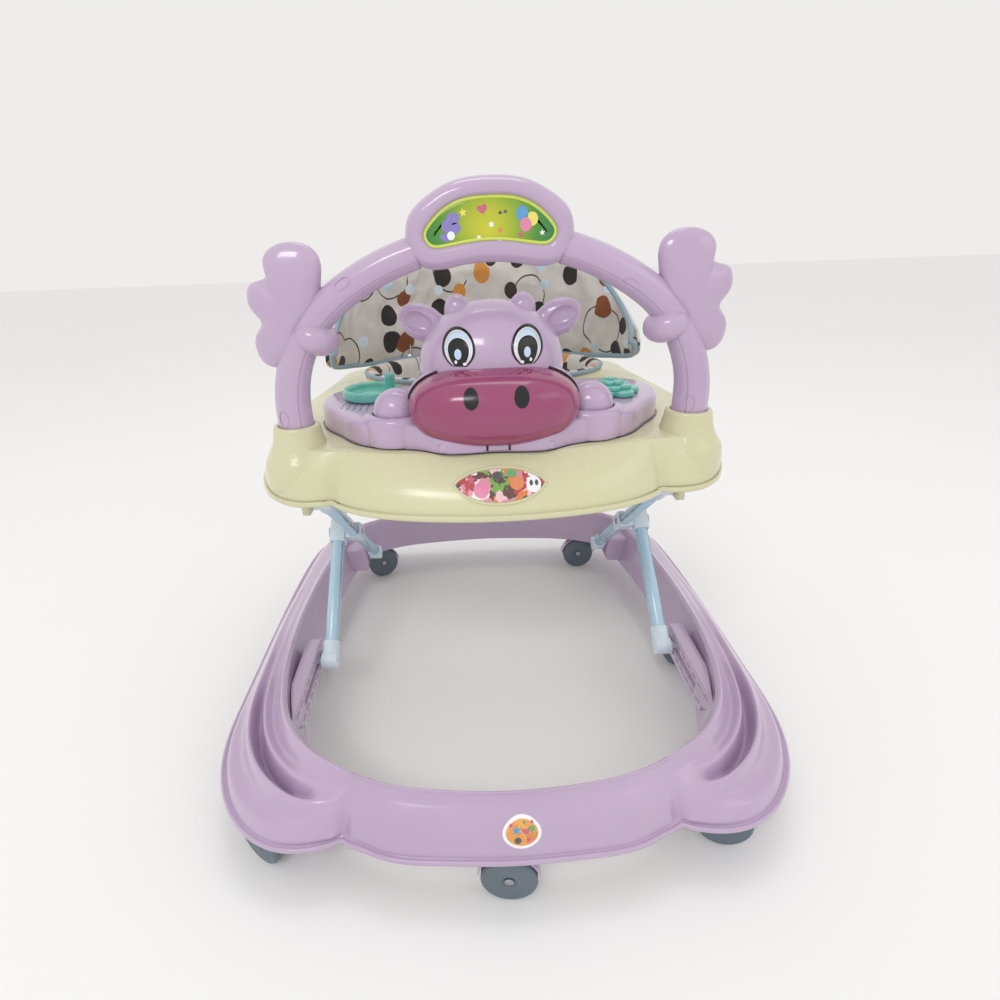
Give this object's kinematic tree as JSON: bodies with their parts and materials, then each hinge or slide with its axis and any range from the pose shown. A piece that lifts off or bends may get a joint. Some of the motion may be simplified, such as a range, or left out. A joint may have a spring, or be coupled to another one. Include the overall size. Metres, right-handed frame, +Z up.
{
  "type": "baby walker",
  "caption": "Baby walker: caster base ring, folding X-frame, tray with toy panel and arch, and a padded sling seat.",
  "frame": {"origin": "on the ground, under the centre of the walker's outer box", "axes": "+Z up, front of the walker faces -Y, +X to the right seen from the front camera"},
  "size_m": [0.588, 0.6341, 0.5732],
  "materials": {
    "lilac_plastic": "gloss, moulded",
    "cream_plastic": "gloss, moulded",
    "snout_pink": "gloss, moulded",
    "turquoise_plastic": "gloss, moulded",
    "white_plastic": "satin, moulded",
    "caster_grey": "satin, moulded",
    "leg_enamel": "gloss enamel",
    "black_rubber": "moulded rubber",
    "screw_steel": "plated",
    "decal_black": "printed film",
    "base_sticker": "printed film",
    "tray_sticker": "printed film",
    "picture_card": "printed film",
    "printed_cloth": "printed cloth, padded",
    "circuit_green": "board with solder mask",
    "speaker_black": "matte",
    "battery_wrap": "printed film"
  },
  "bodies": {
    "base": {"base_shell": "lilac_plastic", "height_rail_left": "lilac_plastic", "height_rail_right": "lilac_plastic", "base_badge": "base_sticker"},
    "caster_swivel_front_centre": {"caster_hood_front_centre": "lilac_plastic", "caster_axle_front_centre": "screw_steel"},
    "caster_roller_front_centre": {"caster_wheel_front_centre": "caster_grey"},
    "caster_swivel_front_left": {"caster_hood_front_left": "lilac_plastic", "caster_axle_front_left": "screw_steel"},
    "caster_roller_front_left": {"caster_wheel_front_left": "caster_grey"},
    "caster_swivel_front_right": {"caster_hood_front_right": "lilac_plastic", "caster_axle_front_right": "screw_steel"},
    "caster_roller_front_right": {"caster_wheel_front_right": "caster_grey"},
    "caster_swivel_side_left": {"caster_hood_side_left": "lilac_plastic", "caster_axle_side_left": "screw_steel"},
    "caster_roller_side_left": {"caster_wheel_side_left": "caster_grey"},
    "caster_swivel_side_right": {"caster_hood_side_right": "lilac_plastic", "caster_axle_side_right": "screw_steel"},
    "caster_roller_side_right": {"caster_wheel_side_right": "caster_grey"},
    "caster_swivel_rear_left": {"caster_hood_rear_left": "lilac_plastic", "caster_axle_rear_left": "screw_steel"},
    "caster_roller_rear_left": {"caster_wheel_rear_left": "caster_grey"},
    "caster_swivel_rear_right": {"caster_hood_rear_right": "lilac_plastic", "caster_axle_rear_right": "screw_steel"},
    "caster_roller_rear_right": {"caster_wheel_rear_right": "caster_grey"},
    "rear_legs": {"rear_leg_tube_left": "leg_enamel", "rear_leg_tube_right": "leg_enamel", "rear_leg_caps": "white_plastic", "inner_cross_blocks": "white_plastic", "cross_pins": "screw_steel"},
    "front_legs": {"front_leg_tube_left": "leg_enamel", "front_leg_tube_right": "leg_enamel", "front_leg_caps": "white_plastic", "outer_cross_blocks": "white_plastic"},
    "tray": {"tray_top": "cream_plastic", "tray_brackets_left": "cream_plastic", "tray_brackets_right": "cream_plastic", "bracket_pins": "screw_steel", "tray_badge": "tray_sticker", "arch_front_shells": "lilac_plastic", "arch_rear_shells": "lilac_plastic", "arch_panel": "lilac_plastic", "arch_panel_back": "lilac_plastic", "panel_picture": "picture_card", "side_toy_left": "lilac_plastic", "side_toy_right": "lilac_plastic", "toy_panel": "lilac_plastic", "button_bellows": "black_rubber", "toy_spindles": "screw_steel", "cow_head": "lilac_plastic", "cow_snout": "snout_pink", "face_decals": "decal_black", "circuit_board": "circuit_green", "speaker": "speaker_black", "batteries": "battery_wrap", "seat_cover": "printed_cloth"},
    "button_left": {"dome_button_left": "lilac_plastic"},
    "button_right": {"dome_button_right": "lilac_plastic"},
    "dial": {"toy_dial": "turquoise_plastic"},
    "spinner": {"toy_spinner": "turquoise_plastic"}
  },
  "joints": [
    {"name": "swivel_front_centre", "type": "hinge", "parent": "base", "child": "caster_swivel_front_centre", "pos_m": [0.009, -0.297, 0.052], "axis": [0, 0, 1], "continuous": true},
    {"name": "roll_front_centre", "type": "hinge", "parent": "caster_swivel_front_centre", "child": "caster_roller_front_centre", "pos_m": [-0.00398, -0.30569, 0.025], "axis": [-0.1045, -0.9945, 0], "continuous": true},
    {"name": "swivel_front_left", "type": "hinge", "parent": "base", "child": "caster_swivel_front_left", "pos_m": [-0.216, -0.258, 0.052], "axis": [0, 0, 1], "continuous": true},
    {"name": "roll_front_left", "type": "hinge", "parent": "caster_swivel_front_left", "child": "caster_roller_front_left", "pos_m": [-0.23157, -0.25931, 0.025], "axis": [-0.5736, -0.8192, 0], "continuous": true},
    {"name": "swivel_front_right", "type": "hinge", "parent": "base", "child": "caster_swivel_front_right", "pos_m": [0.216, -0.258, 0.052], "axis": [0, 0, 1], "continuous": true},
    {"name": "roll_front_right", "type": "hinge", "parent": "caster_swivel_front_right", "child": "caster_roller_front_right", "pos_m": [0.20194, -0.2648, 0.025], "axis": [-0.2419, -0.9703, 0], "continuous": true},
    {"name": "swivel_side_left", "type": "hinge", "parent": "base", "child": "caster_swivel_side_left", "pos_m": [-0.263, -0.008, 0.052], "axis": [0, 0, 1], "continuous": true},
    {"name": "roll_side_left", "type": "hinge", "parent": "caster_swivel_side_left", "child": "caster_roller_side_left", "pos_m": [-0.273, 0.004, 0.025], "axis": [-1, 0, 0], "continuous": true},
    {"name": "swivel_side_right", "type": "hinge", "parent": "base", "child": "caster_swivel_side_right", "pos_m": [0.263, -0.008, 0.052], "axis": [0, 0, 1], "continuous": true},
    {"name": "roll_side_right", "type": "hinge", "parent": "caster_swivel_side_right", "child": "caster_roller_side_right", "pos_m": [0.24918, -0.01529, 0.025], "axis": [-0.2079, -0.9781, 0], "continuous": true},
    {"name": "swivel_rear_left", "type": "hinge", "parent": "base", "child": "caster_swivel_rear_left", "pos_m": [-0.172, 0.262, 0.052], "axis": [0, 0, 1], "continuous": true},
    {"name": "roll_rear_left", "type": "hinge", "parent": "caster_swivel_rear_left", "child": "caster_roller_rear_left", "pos_m": [-0.17865, 0.24787, 0.025], "axis": [0.4226, -0.9063, 0], "continuous": true},
    {"name": "swivel_rear_right", "type": "hinge", "parent": "base", "child": "caster_swivel_rear_right", "pos_m": [0.172, 0.262, 0.052], "axis": [0, 0, 1], "continuous": true},
    {"name": "roll_rear_right", "type": "hinge", "parent": "caster_swivel_rear_right", "child": "caster_roller_rear_right", "pos_m": [0.16, 0.252, 0.025], "axis": [0, -1, 0], "continuous": true},
    {"name": "leg_fold", "type": "hinge", "parent": "base", "child": "rear_legs", "pos_m": [0, 0.183, 0.08], "axis": [1, 0, 0], "range_deg": [-2, 25]},
    {"name": "leg_cross", "type": "hinge", "parent": "rear_legs", "child": "front_legs", "pos_m": [0, 0.05363, 0.18402], "axis": [1, 0, 0], "range_deg": [-50, 4]},
    {"name": "tray_level", "type": "hinge", "parent": "rear_legs", "child": "tray", "pos_m": [0, -0.07574, 0.28803], "axis": [1, 0, 0], "range_deg": [-25, 2]},
    {"name": "press_left", "type": "slide", "parent": "tray", "child": "button_left", "axis": [0, 0, -1], "range_m": [0, 0.003], "stiffness_N_per_m": 500, "springref_m": -0.0015},
    {"name": "press_right", "type": "slide", "parent": "tray", "child": "button_right", "axis": [0, 0, -1], "range_m": [0, 0.003], "stiffness_N_per_m": 500, "springref_m": -0.0015},
    {"name": "turn_dial", "type": "hinge", "parent": "tray", "child": "dial", "pos_m": [-0.12, -0.038, 0.388], "axis": [0, 0, 1], "continuous": true},
    {"name": "turn_spinner", "type": "hinge", "parent": "tray", "child": "spinner", "pos_m": [0.12, -0.056, 0.388], "axis": [0, 0, 1], "continuous": true}
  ],
  "couplings": [
    {"joint": "leg_cross", "follows": "leg_fold", "ratio": -2},
    {"joint": "tray_level", "follows": "leg_fold", "ratio": -1}
  ]
}
